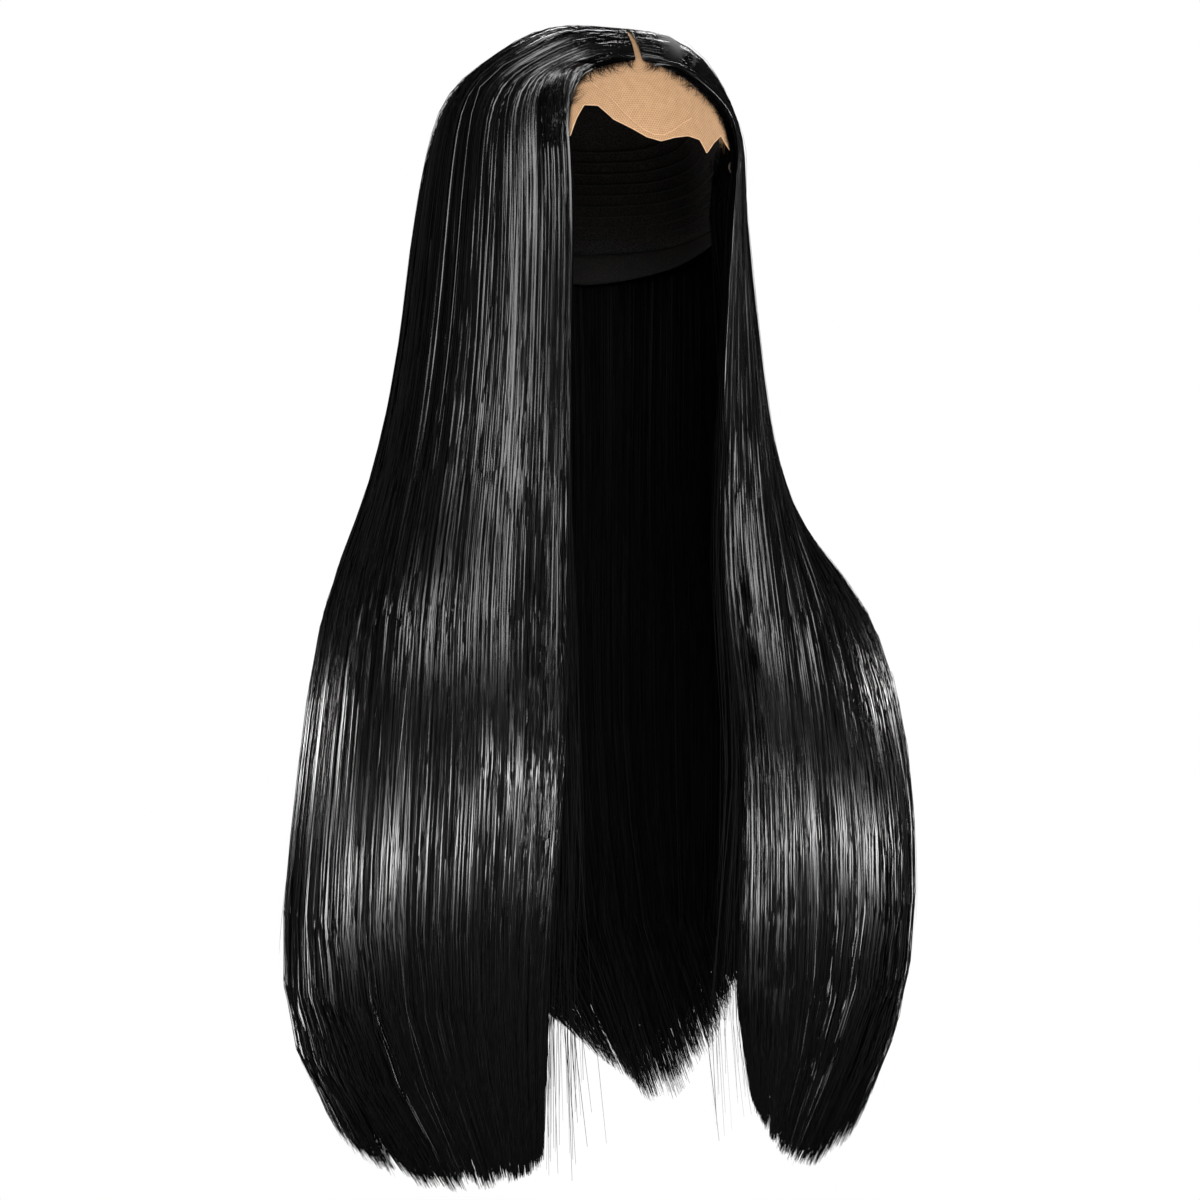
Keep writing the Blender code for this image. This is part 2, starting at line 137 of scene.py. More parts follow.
BACK_LEFT = (
    ("back_inner", (8, 33), 158, 68, (13, 20), 18, (44, 106), (40, 95), (38, 91),
     (39, 98), (40, 101), (56, 101), (84, 98, -646)),
    ("back_mid", (3, 20), 130, 66, (11, 17), 20, (84, 72), (84, 66), (84, 68),
     (94, 78), (96, 84), (94, 86), (108, 88, -600)),
    ("back_side", (3, -4), 107, 64, (9, 13), 14, (88, 28), (95, 27), (102, 36),
     (118, 48), (124, 58), (124, 66), (120, 74, -556)),
)
LEVEL_FULLNESS = (1.0, 1.0, 1.0, 1.0, 1.0, 0.95, 0.9, 0.85, 0.7, 0.22)
HEAD_SPANS = 2
SPAN_STEPS = 12
SOFTEN_REACH = 10
LOCK_TIP_TAPER = 0.006
FRONT_CUTS = (0.0, 1.0, 1.5, 2.0, 2.5, 3.0)
BACK_CUTS = (0.0, 1.0, 2.0, 3.0, 4.0, 5.0, 6.0)

# Strands: samples along them, width, and how they gather
STRAND_SHARES = np.concatenate((np.linspace(0.0, 0.28, 17)[:-1], np.linspace(0.28, 1.0, 13)))
COARSE_SHARES = np.concatenate((np.linspace(0.0, 0.24, 9)[:-1], np.linspace(0.24, 1.0, 9)))
STRAND_WIDTH = 0.60 * MM
ROOT_RISE = 0.045
ROOT_SPREAD = 0.0026
CLUMP_SPACING = 2.6 * MM
CLUMP_PULL = 0.30
CLUMP_RELIEF = 0.30 * MM
WANDER = 1.2 * MM
ROLL_SPREAD = 0.32
CLUMP_LIFT = 0.2 * MM
STRAND_LIFT = 0.35 * MM

# Tips, as shares of the length: reach past the guides' ends, scatter, and the sweep inwards
TIP_REACH = 0.018
TIP_SCATTER = 0.035
CLUMP_TIP_SCATTER = 0.012
TIP_FLICK = 2.2 * MM
SWEEP_START = 0.80
SWEEP_SHARE = 0.15

# Loose strands at the inner edges of the two front curtains
WISP_COUNT = 150
WISP_PLACES = (0.0, 0.12)
WISP_ENDS = (0.70, 1.02)
WISP_REACH = 32 * MM
WISP_WAVE = 2.5 * MM
WISP_WIDTH = 0.5 * MM

# Hairline: its share of the length, and the hairs and knots along it; single stray hairs
HAIRLINE_LENGTH = 0.150
ROOT_COUNT = 420
BABY_HAIR_COUNT = 150
KNOT_COUNT = 260
KNOT_HALF = 0.16 * MM
KNOT_LIFT = 1.3 * MM
FLYAWAY_COUNT = 70

# Dense hair under the strands: depths of its two sides and its grid
UNDER_DEPTHS = (0.22, 0.80)
UNDER_COLUMNS = 61
UNDER_ROWS = 49

# Layers of strands in each sheet: name, count, depths from its outer side, samples, from inside
LAYERS = {
    "front_right": (("outer", 2000, (0.0, 0.12), STRAND_SHARES, False),
                    ("outer_fill", 2000, (0.02, 0.25), STRAND_SHARES, False),
                    ("filling", 2200, (0.1, 0.6), COARSE_SHARES, False),
                    ("inner", 450, (1.0, 0.8), COARSE_SHARES, True)),
    "front_left": (("outer", 1900, (0.0, 0.15), STRAND_SHARES, False),
                   ("outer_fill", 1900, (0.02, 0.4), STRAND_SHARES, False),
                   ("inner", 450, (1.0, 0.8), COARSE_SHARES, True)),
    "back": (("outer", 1600, (0.0, 0.15), STRAND_SHARES, False),
             ("outer_fill", 1600, (0.02, 0.4), STRAND_SHARES, False),
             ("inner", 1200, (1.0, 0.75), COARSE_SHARES, True)),
}
# Partings that open towards the tips: place across, half width across, start along
PARTINGS = {
    "front_right": ((2.52, 0.055, 0.86), (1.35, 0.02, 0.93)),
    "front_left": ((0.62, 0.07, 0.84), (2.2, 0.02, 0.92)),
    "back": ((2.0, 0.03, 0.90), (4.2, 0.03, 0.90)),
}

# Studio: the eye is level with the middle of the hair, and turned to the wearer's right
CAMERA_TURN = math.radians(12)
CAMERA_DISTANCE = 1.3
CAMERA_HEIGHT = -0.351
FOCAL_MM = 62.4
SENSOR_MM = 36.0
AXIS_OFFSET = 7.5 * MM
FLOOR_HEIGHT = -1.6
FLOOR_RADIUS = 2.9
ROOM_LIGHT = 0.05
LIGHT_TARGET = np.array((0.0, 0.0, -0.35))
# Soft boxes: name, turn from the camera to its right and climb in degrees, distance, size, watts
SOFT_BOXES = (
    ("front", 8, 26, 2.2, (1.0, 0.5), 14),
    ("left", -40, -6, 2.2, (1.1, 0.28), 24),
    ("far_left", -118, 1, 2.2, (0.8, 0.26), 11),
    ("right", 64, -3, 2.2, (1.4, 0.26), 28),
    ("far_right", 122, 8, 2.2, (0.8, 0.28), 13),
    ("back", 176, 46, 2.2, (1.2, 0.5), 22),
    ("top", -20, 66, 2.0, (1.0, 0.7), 13),
)


def head_radius(rays):
    """Radius of the head form along unit directions from its centre."""
    halves = np.where(rays[..., 2:3] >= 0, HEAD_HALVES_UP, HEAD_HALVES_DOWN)
    return (np.abs(rays / halves) ** HEAD_SQUARENESS).sum(-1) ** (-1.0 / HEAD_SQUARENESS)


def unit(vectors):
    """Vectors scaled to length one."""
    return vectors / np.maximum(np.linalg.norm(vectors, axis=-1, keepdims=True), 1e-12)


def head_points(directions, lift=0.0):
    """Points of the head form in some directions, lifted off it."""
    rays = unit(directions)
    reach = head_radius(rays) + lift
    return HEAD_CENTRE + rays * reach[..., None]


def cap_directions(turn, angle):
    """Directions at a turn round the crown pole and an angle down from it, in radians."""
    across = np.sin(angle) * np.sin(turn)
    ahead = -np.sin(angle) * np.cos(turn)
    up = np.cos(angle)
    lean_cos = math.cos(CROWN_LEAN)
    lean_sin = math.sin(CROWN_LEAN)
    return np.stack((across, ahead * lean_cos + up * lean_sin, up * lean_cos - ahead * lean_sin), -1)


def angles_at_drop(turn, drop):
    """Angles from the crown pole at which the head form lies some drops below its top."""
    low = np.full(np.shape(turn), math.radians(45))
    high = np.full(np.shape(turn), math.radians(160))
    for _ in range(36):
        middle = (low + high) / 2
        above = head_points(cap_directions(turn, middle))[..., 2] > -drop
        low = np.where(above, middle, low)
        high = np.where(above, high, middle)
    return (low + high) / 2


def head_height(across, along):
    """Height of the head form over a place on its upper half."""
    left = 1.0 - (abs(across) / HEAD_HALVES_UP[0]) ** HEAD_SQUARENESS
    left -= (abs(along) / HEAD_HALVES_UP[1]) ** HEAD_SQUARENESS
    return HEAD_CENTRE[2] + HEAD_HALVES_UP[2] * max(left, 0.0) ** (1.0 / HEAD_SQUARENESS)


def head_ray_at(turn, drop):
    """Direction from the head's centre to its surface at a level turn and a drop."""
    share = min(abs(-drop - HEAD_CENTRE[2]) / HEAD_HALVES_UP[2], 1.0)
    across = abs(math.sin(turn) / HEAD_HALVES_UP[0]) ** HEAD_SQUARENESS
    along = abs(math.cos(turn) / HEAD_HALVES_UP[1]) ** HEAD_SQUARENESS
    reach = ((1.0 - share ** HEAD_SQUARENESS) / (across + along)) ** (1.0 / HEAD_SQUARENESS)
    return np.array((math.sin(turn) * reach, -math.cos(turn) * reach, -drop - HEAD_CENTRE[2]))


def between(start, end):
    """Direction half way between two directions."""
    return unit(unit(start) + unit(end))


def hermite(share, start, end, slope_start, slope_end):
    """Values between a start and an end, with the slopes there."""
    return (start * (2 * share ** 3 - 3 * share ** 2 + 1)
            + slope_start * (share ** 3 - 2 * share ** 2 + share)
            + end * (3 * share ** 2 - 2 * share ** 3)
            + slope_end * (share ** 3 - share ** 2))


def spline_points(points, steps):
    """Points on a smooth curve through unevenly spaced points, some steps for each span."""
    curve = []
    last = len(points) - 1
    share = np.arange(steps)[:, None] / steps
    for span in range(last):
        before = points[max(span - 1, 0)]
        start, end = points[span], points[span + 1]
        after = points[min(span + 2, last)]
        length, into, out = (np.linalg.norm(pair) for pair in
                             (end - start, start - before, after - end))
        slope_start = (end - before) * (length / (length + into)) if span > 0 else end - start
        slope_end = (after - start) * (length / (length + out)) if span + 1 < last else end - start
        curve.append(hermite(share, start, end, slope_start, slope_end))
    curve.append(points[-1][None])
    return np.concatenate(curve)


def ease(place, values):
    """Values at places between whole numbers, changing slowest at them."""
    place = np.clip(place, 0, len(values) - 1.001)
    share = place % 1
    return np.interp(place // 1 + share * share * (3 - 2 * share), range(len(values)), values)


def soften(points, first, reach):
    """Points past a first one with the corners between their spans rounded."""
    weights = np.hanning(2 * reach + 3)[1:-1]
    weights /= weights.sum()
    steps = np.arange(1, reach + 1)[:, None]
    padded = np.concatenate((points[0] - (points[1] - points[0]) * steps[::-1], points,
                             points[-1] + (points[-1] - points[-2]) * steps))
    rounded = np.stack([np.convolve(column, weights, "valid") for column in padded.T], -1)
    share = np.clip((np.arange(len(points)) - first) / SPAN_STEPS, 0, 1)[:, None]
    return points * (1 - share) + rounded * share


def guide_arrays(row, side):
    """One guide line as arrays: points, lift off the head, thickness and share on the head."""
    guide = dict(zip(GUIDE_COLUMNS, row))
    out, along = guide["root"]
    root = np.array((out * MM * side, along * MM, 0.0))
    root[2] = head_height(root[0], root[1])
    root_ray = root - HEAD_CENTRE
    leave_ray = head_ray_at(math.radians(guide["turn"]) * side, guide["drop"] * MM)
    lifts = [ROOT_LIFT] + [lift * MM for lift in guide["lifts"]]
    rays = (root_ray, between(root_ray, leave_ray), leave_ray)
    points = [head_points(ray, lift) for ray, lift in zip(rays, lifts)]
    for level, height in LEVELS:
        out, back = guide[level]
        points.append(np.array((out * side, back, height)) * MM)
    out, back, height = guide["tip"]
    points.append(np.array((out * side, back, height)) * MM)
    place = np.arange((len(points) - 1) * SPAN_STEPS + 1) / SPAN_STEPS
    return {
        "point": soften(spline_points(points, SPAN_STEPS), HEAD_SPANS * SPAN_STEPS, SOFTEN_REACH),
        "lift": ease(place, lifts),
        "thick": np.interp(place, range(len(points)), LEVEL_FULLNESS) * guide["thick"] * MM,
        "head": np.clip(1.0 - (place - HEAD_SPANS), 0.0, 1.0),
    }


class HairSheet:
    """Hair between a row of guide lines, from its outer to its inner side."""

    def __init__(self, rows, cuts, partings, gather=0.0):
        guides = [guide_arrays(row, side) for row, side in rows]
        self.values = {key: np.stack([guide[key] for guide in guides]) for key in guides[0]}
        self.cuts = cuts
        self.partings = partings
        self.gather = gather
        steps = np.linalg.norm(np.diff(self.values["point"], axis=1), axis=-1).mean(axis=0)
        travelled = np.concatenate(((0.0,), np.cumsum(steps)))
        self.along = travelled / travelled[-1]
        self.count = len(guides)
        self.side = 1 if self.values["point"][0, -1, 0] < 0 else -1
        middle = len(self.along) * 2 // 3
        across = self.values["point"][:, middle]
        self.width = np.linalg.norm(np.diff(across, axis=0), axis=-1).sum()
        self.span_width = self.width / (self.count - 1)

    def blend(self, key, place, index):
        """Values across the guides at whole steps along them."""
        values = self.values[key]
        last = self.count - 1
        span = np.clip(place.astype(int), 0, last - 1)
        share = place - span
        before = values[np.maximum(span - 1, 0), index]
        start = values[span, index]
        end = values[span + 1, index]
        after = values[np.minimum(span + 2, last), index]
        inner = (span > 0) * 0.5 + (span == 0) * 1.0
        outer = (span + 1 < last) * 0.5 + (span + 1 == last) * 1.0
        if values.ndim == 3:
            share, inner, outer = share[..., None], inner[..., None], outer[..., None]
        return hermite(share, start, end, (end - before) * inner, (after - start) * outer)

    def read(self, key, place, along):
        """Values at places across the guides and shares of the length along them."""
        position = np.interp(along, self.along, np.arange(len(self.along)))
        index = np.minimum(position.astype(int), len(self.along) - 2)
        share = position - index
        if self.values[key].ndim == 3:
            share = share[..., None]
        return (self.blend(key, place, index) * (1 - share)
                + self.blend(key, place, index + 1) * share)

    def points(self, place, along, depth, proud=0.0):
        """Points at places across, along and into the hair, and the outward directions there."""
        for centre, half, start in self.partings:
            opened = half * np.clip((along - start) / (1 - start), 0, 1)
            apart = place - centre
            place = place + np.sign(apart) * opened * np.exp(-(apart / (4 * half)) ** 2)
        late = np.clip((along - SWEEP_START) / (1 - SWEEP_START), 0, 1.1) ** 2
        place = place + (self.gather - place) * SWEEP_SHARE * late
        beyond = np.maximum(along - 1.0, 0.0)[..., None]
        short = np.maximum(-along, 0.0)[..., None]
        along = np.clip(along, 0.0, 1.0)
        point = self.read("point", place, along)
        before = self.read("point", place, np.maximum(along - 0.04, 0.0))
        after = self.read("point", place, np.minimum(along + 0.01, 1.0))
        point = point + (point - before) / 0.04 * beyond - (after - point) / 0.01 * short
        lift = self.read("lift", place, along)
        thick = self.read("thick", place, along)
        head = np.clip(self.read("head", place, along), 0.0, 1.0)[..., None]
        head = head * head * (3 - 2 * head)
        on_head = head_points(point - HEAD_CENTRE, lift)
        point = point * (1 - head) + on_head * head
        ray = point - HEAD_CENTRE
        ray[..., 2] = np.maximum(ray[..., 2], 0.0)
        outward = unit(ray)
        seat = head_points(point - HEAD_CENTRE, HAIR_SEAT)
        inner = (point - outward * thick[..., None]) * (1 - head) + seat * head
        rise = np.clip(along / ROOT_RISE, 0.0, 1.0)
        rise = (rise * rise * (3 - 2 * rise))[..., None]
        outer = inner + (point - inner) * (0.12 + 0.88 * rise)
        depth = np.asarray(depth)[..., None]
        proud = np.asarray(proud)[..., None]
        return outer * (1 - depth) + inner * depth + outward * proud * rise, outward

    def facing(self, place, along, depth):
        """Directions square to the hair's own surface."""
        left, outward = self.points(place - 0.06, along, depth)
        right, _ = self.points(place + 0.06, along, depth)
        before, _ = self.points(place, along - 0.012, depth)
        after, _ = self.points(place, along + 0.012, depth)
        normal = unit(np.cross(right - left, after - before))
        return normal * np.sign((normal * outward).sum(-1, keepdims=True))

    def tip_share(self, place):
        """Share of the length at which the hair ends, shorter between the locks."""
        cuts = np.asarray(self.cuts)
        lock = np.clip(np.searchsorted(cuts, place, side="right") - 1, 0, len(cuts) - 2)
        across = (place - cuts[lock]) / (cuts[lock + 1] - cuts[lock])
        return 1.0 - LOCK_TIP_TAPER * (2 * np.clip(across, 0, 1) - 1) ** 2


def round_off(paths, last):
    """Round the corners of paths up to a last point, in place."""
    for _ in range(2):
        paths[:, 1:last] = (paths[:, :last - 1] + 2 * paths[:, 1:last] + paths[:, 2:last + 1]) / 4


def seeded(name):
    """Random numbers that are the same each time for one name."""
    return np.random.default_rng(sum(map(ord, name)))


def slow_noise(rng, rows, columns, knots):
    """Smooth random rows between -1 and 1."""
    raw = rng.uniform(-1, 1, (rows, knots))
    place = np.linspace(0, knots - 1.001, columns)
    index = place.astype(int)
    share = place - index
    share = share * share * (3 - 2 * share)
    return raw[:, index] * (1 - share) + raw[:, index + 1] * share


def mesh_object(name, points, faces, material, smooth=True):
    """Mesh object from an array of points and an array of faces of one size."""
    mesh = bpy.data.meshes.new(name)
    size = faces.shape[1]
    mesh.vertices.add(len(points))
    mesh.vertices.foreach_set("co", points.astype(np.float32).ravel())
    mesh.loops.add(faces.size)
    mesh.loops.foreach_set("vertex_index", faces.astype(np.int32).ravel())
    mesh.polygons.add(len(faces))
    mesh.polygons.foreach_set("loop_start", np.arange(0, faces.size, size, dtype=np.int32))
    mesh.update(calc_edges=True)
    if smooth:
        mesh.shade_smooth()
    mesh.materials.append(material)
    piece = bpy.data.objects.new(name, mesh)
    bpy.context.scene.collection.objects.link(piece)
    return piece


def ribbon_mesh(paths, outward, widths, roll):
    """Points and faces of flat ribbons along paths, rolled about their length."""
    count, steps = paths.shape[:2]
    tangent = unit(np.gradient(paths, axis=1))
    side = unit(np.cross(tangent, outward))
    normal = np.cross(side, tangent)
    turn = np.broadcast_to(roll, (count, steps))[..., None]
    half = (side * np.cos(turn) + normal * np.sin(turn)) * widths[..., None] / 2
    points = np.stack((paths - half, paths + half), axis=2).reshape(-1, 3)
    first = ((np.arange(count) * steps)[:, None] + np.arange(steps - 1)[None]).ravel() * 2
    return points, np.stack((first, first + 1, first + 3, first + 2), -1)


def strand_layer(name, sheet, material, count, depths, shares, inward):
    """One layer of strands over a hair sheet, gathered in small clumps."""
    rng = seeded(name)
    high, steps = sheet.count - 1, len(shares)
    place = high * (np.arange(count) + rng.uniform(0, 1, count)) / count
    clumps = int(sheet.span_width * high / CLUMP_SPACING) + 1
    clump = np.minimum((place / high * clumps).astype(int), clumps - 1)
    centre = (clump + 0.5 + rng.uniform(-0.3, 0.3, clumps)[clump]) / clumps * high
    spread = np.clip((place - centre) * clumps / high, -1, 1)
    start = rng.uniform(-1.0, 1.0, count) * ROOT_SPREAD
    end = sheet.tip_share(place) + TIP_REACH - TIP_SCATTER * rng.beta(1.1, 3.0, count)
    end -= CLUMP_TIP_SCATTER * rng.uniform(0, 1, clumps)[clump]
    stretch = rng.uniform(0.94, 1.06, count)[:, None]
    along = start[:, None] + (end - start)[:, None] * shares[None] ** stretch
    growth = np.clip(along / 0.3, 0, 1)
    pull = CLUMP_PULL * np.clip((along - 0.15) / 0.85, 0, 1) ** 1.5
    drift = slow_noise(rng, clumps, steps, 5)[clump] * WANDER * 0.6 / sheet.span_width
    own = slow_noise(rng, count, steps, 6) * WANDER / sheet.span_width
    flick = rng.normal(0, 1, count)[:, None] * np.clip((along - 0.88) / 0.12, 0, 1) ** 2
    places = place[:, None] + (centre - place)[:, None] * pull + (drift + own) * growth
    places = np.clip(places + flick * TIP_FLICK / sheet.span_width, -0.02, high + 0.02)
    depth = (depths[0] + (depths[1] - depths[0]) * rng.uniform(0, 1, count) ** 1.5)[:, None]
    relief = CLUMP_RELIEF * (1 - spread ** 2)[:, None] * growth
    relief = relief + rng.uniform(-1, 1, clumps)[clump][:, None] * CLUMP_LIFT * growth
    lift = relief + slow_noise(rng, count, steps, 5) * STRAND_LIFT
    depth = depth + np.zeros_like(along)
    paths, _ = sheet.points(places, along, depth, -lift if inward else lift)
    if not inward:
        round_off(paths, steps * 4 // 7)
    facing = sheet.facing(places, along, depth)
    taper = np.clip((1 - shares) / 0.06, 0.3, 1) * np.clip(0.5 + shares / 0.1, 0, 1)
    widths = STRAND_WIDTH * rng.uniform(0.6, 1.25, count)[:, None] * taper[None]
    roll = rng.normal(0, ROLL_SPREAD, count)[:, None] + slow_noise(rng, count, steps, 6) * 0.2
    return mesh_object(name, *ribbon_mesh(paths, -facing if inward else facing, widths, roll), material)


def edge_layer(name, sheet, material):
    """Loose strands at and beyond the inner edge of a sheet."""
    rng = seeded(name)
    shares = COARSE_SHARES[None]
    place = rng.uniform(*WISP_PLACES, WISP_COUNT)[:, None]
    start = rng.uniform(0.0, 0.01, WISP_COUNT)[:, None]
    along = start + (rng.uniform(*WISP_ENDS, WISP_COUNT)[:, None] - start) * shares
    leave = rng.uniform(0.30, 0.75, WISP_COUNT)[:, None]
    power = rng.uniform(0.8, 2.0, WISP_COUNT)[:, None]
    away = WISP_REACH * rng.uniform(0.0, 1.0, WISP_COUNT)[:, None] ** 1.7
    away = away * np.clip((along - leave) / (0.95 - leave), 0, 1.1) ** power
    loosen = np.clip((along - 0.2) / 0.6, 0, 1)
    wave = slow_noise(rng, WISP_COUNT, shares.size, 7) * loosen * (1 + loosen)
    depth = rng.uniform(0, 1, WISP_COUNT)[:, None] + np.zeros_like(along)
    proud = slow_noise(rng, WISP_COUNT, shares.size, 6) * loosen * WISP_WAVE
    paths, outward = sheet.points(place + np.zeros_like(along), along, depth, proud)
    sideways = unit(np.cross(outward, unit(np.gradient(paths, axis=1)))) * sheet.side
    paths = paths + sideways * (away + wave * WISP_WAVE)[..., None]
    taper = np.clip((1 - shares) / 0.12, 0.35, 1)
    widths = WISP_WIDTH * rng.uniform(0.7, 1.1, WISP_COUNT)[:, None] * taper
    roll = rng.normal(0, 0.5, WISP_COUNT)[:, None]
    return mesh_object(name, *ribbon_mesh(paths, outward, widths, roll), material)


def crawl(starts, directions, bends, steps, stride, lift):
    """Paths over the head form that start in some directions and bend sideways as they go."""
    ray = unit(starts - HEAD_CENTRE)
    position = head_points(ray, lift)
    heading = directions - ray * (directions * ray).sum(-1, keepdims=True)
    paths = [position]
    for _ in range(steps - 1):
        heading = unit(heading)
        sideways = np.cross(ray, heading)
        turn = (bends * stride)[:, None]
        heading = heading * np.cos(turn) + sideways * np.sin(turn)
        position = position + heading * stride[:, None]
        ray = unit(position - HEAD_CENTRE)
        position = head_points(ray, lift)
        heading = heading - ray * (heading * ray).sum(-1, keepdims=True)
        paths.append(position)
    return np.stack(paths, axis=1)


def hairline_frame(sheet, along):
    """Points of the hairline, with directions along it and forward off the hair."""
    edge = np.zeros(len(along))
    here, outward = sheet.points(edge, along, np.ones(len(along)))
    ahead, _ = sheet.points(edge, along + 0.004, np.ones(len(along)))
    flow = unit(ahead - here)
    forward = unit(np.cross(outward, flow)) * sheet.side
    return here, flow, forward


def build_baby_hairs(name, sheet, material, count=BABY_HAIR_COUNT):
    """Short fine hairs that curl down from the hairline over the lace."""
    rng = seeded(name)
    along = 0.002 + HAIRLINE_LENGTH * rng.uniform(0, 1, count) ** 0.9
    here, flow, forward = hairline_frame(sheet, along)
    start = here + forward * rng.uniform(-1.5, 2.0, count)[:, None] * MM
    heading = forward + flow * rng.normal(0.15, 0.35, count)[:, None]
    steps = 9
    stride = rng.uniform(4, 11, count) * MM / (steps - 1)
    bends = sheet.side * rng.normal(90, 45, count)
    lift = 1.25 * MM + 0.5 * MM * rng.uniform(0, 1, count)
    paths = crawl(start, heading, bends, steps, stride, lift)
    taper = np.linspace(1, 0.25, steps)[None]
    widths = rng.uniform(0.22, 0.40, count)[:, None] * MM * taper
    return mesh_object(name, *ribbon_mesh(paths, unit(paths - HEAD_CENTRE), widths, 0.0), material)


def build_hairline_roots(name, sheet, material, count=ROOT_COUNT):
    """Hair that grows from the lace along the hairline and sweeps back into the fall."""
    rng = seeded(name)
    along = HAIRLINE_LENGTH * rng.uniform(0, 1, count) ** 0.8
    here, _, forward = hairline_frame(sheet, along)
    start = here + forward * rng.uniform(-2.5, 2.2, count)[:, None] * MM
    share = STRAND_SHARES[None]
    reach = rng.uniform(0.72, 1.0, count)
    onward = along[:, None] + (reach - along)[:, None] * share ** 1.25
    inset = rng.uniform(0.02, 0.42, count)[:, None] * np.clip(share / 0.18, 0, 1) ** 0.7
    paths, outward = sheet.points(inset, onward, np.full_like(onward, 0.02), 0.3 * MM)
    blend = np.clip(share / 0.055, 0, 1)[..., None]
    blend = blend * blend * (3 - 2 * blend)
    paths = start[:, None] * (1 - blend) + paths * blend
    taper = np.clip((1 - share) / 0.25, 0.15, 1)
    widths = rng.uniform(0.3, 0.55, count)[:, None] * MM * taper
    roll = rng.normal(0, 0.25, count)[:, None]
    return mesh_object(name, *ribbon_mesh(paths, outward, widths, roll), material)


def build_knots(name, sheet, material, count=KNOT_COUNT):
    """Dark knots that tie the first hairs to the lace."""
    rng = seeded(name)
    along = HAIRLINE_LENGTH * rng.uniform(0, 1, count)
    here, flow, forward = hairline_frame(sheet, along)
    centre = here + forward * (3.2 * rng.uniform(0, 1, count) ** 1.5)[:, None] * MM
    ray = unit(centre - HEAD_CENTRE)
    centre = head_points(ray, KNOT_LIFT)
    across = unit(np.cross(ray, flow)) * KNOT_HALF
    down = unit(np.cross(ray, across)) * KNOT_HALF
    points = np.stack((centre - across, centre + down, centre + across, centre - down), axis=1)
    faces = np.arange(count * 4).reshape(-1, 4)
    return mesh_object(name, points.reshape(-1, 3), faces, material, smooth=False)


def build_flyaways(name, sheet, material, count=FLYAWAY_COUNT):
    """Single hairs that cross the fall a little proud of it."""
    rng = seeded(name)
    high = sheet.count - 1
    start = rng.uniform(0.03, 0.8, count)
    end = np.minimum(start + rng.uniform(0.12, 0.5, count), 1.01)
    shares = np.linspace(0, 1, 16)[None]
    along = start[:, None] + (end - start)[:, None] * shares
    drift = rng.normal(0, 9 * MM, count)[:, None] * shares ** 2
    place = rng.uniform(0, high, count)[:, None] + drift / sheet.span_width
    proud = rng.uniform(0.4, 2.6, count)[:, None] * MM * np.sin(0.15 + 2.45 * shares)
    paths, outward = sheet.points(np.clip(place, -0.05, high + 0.05), along,
                                  np.zeros_like(along), proud)
    taper = np.clip(np.sin(0.1 + 2.95 * shares) * 3, 0.2, 1)
    widths = rng.uniform(0.18, 0.34, count)[:, None] * MM * taper
    roll = rng.normal(0, 0.6, count)[:, None]
    return mesh_object(name, *ribbon_mesh(paths, outward, widths, roll), material)


def grid_faces(rows, columns, closed=False):
    """Faces of a grid of points, row by row."""
    last = rows if closed else rows - 1
    here = (np.arange(last)[:, None] * columns + np.arange(columns - 1)[None]).ravel()
    there = ((np.arange(last)[:, None] + 1) % rows * columns + np.arange(columns - 1)[None]).ravel()
    return np.stack((here, here + 1, there + 1, there), -1)


def under_layer(name, sheet, material):
    """Dense dark hair inside a sheet: a closed slab that thins out above the tips."""
    rng = seeded(name)
    columns, rows = UNDER_COLUMNS, UNDER_ROWS
    place = np.linspace(0.05, sheet.count - 1.05, columns)
    end = sheet.tip_share(place) - 0.01 - rng.uniform(0.0, 0.035, columns)
    along = 0.012 + (end - 0.012)[:, None] * np.linspace(0, 1, rows)[None]
    places = np.repeat(place[:, None], rows, axis=1)
    top, bottom = (sheet.points(places, along, np.full_like(along, depth))[0]
                   for depth in UNDER_DEPTHS)
    thin = np.linspace(0, 1, rows)[None, :, None] ** 6
    middle = (top + bottom) / 2
    top = top * (1 - thin) + middle * thin
    bottom = bottom * (1 - thin) + (middle - (top - middle) * 0.2) * thin
    offset = columns * rows
    upper = grid_faces(columns, rows)
    near = np.arange(rows - 1)
    far = (columns - 1) * rows + near
    first = np.arange(columns - 1) * rows
    last = first + rows - 1
    faces = np.concatenate((
        upper, upper[:, ::-1] + offset,
        np.stack((near, near + offset, near + offset + 1, near + 1), -1),
        np.stack((far, far + 1, far + offset + 1, far + offset), -1),
        np.stack((first, first + rows, first + rows + offset, first + offset), -1),
        np.stack((last, last + offset, last + rows + offset, last + rows), -1)))
    points = np.concatenate((top.reshape(-1, 3), bottom.reshape(-1, 3)))
    return mesh_object(name, points, faces, material)


def node_material(name, color, roughness):
    """Principled material, its shader and its node tree."""
    material = bpy.data.materials.new(name)
    material.use_nodes = True
    shader = material.node_tree.nodes["Principled BSDF"]
    shader.inputs["Base Color"].default_value = (*color, 1.0)
    shader.inputs["Roughness"].default_value = roughness
    material.diffuse_color = (*color, 1.0)
    return material, shader, material.node_tree


def streak_noise(tree, scale, stretch):
    """Noise drawn out along the hair's fall."""
    place = tree.nodes.new("ShaderNodeTexCoord")
    mapping = tree.nodes.new("ShaderNodeMapping")
    mapping.inputs["Scale"].default_value = (1.0, 1.0, stretch)
    noise = tree.nodes.new("ShaderNodeTexNoise")
    noise.inputs["Scale"].default_value = scale
    noise.inputs["Detail"].default_value = 2.0
    tree.links.new(place.outputs["Object"], mapping.inputs["Vector"])
    tree.links.new(mapping.outputs["Vector"], noise.inputs["Vector"])
    return noise


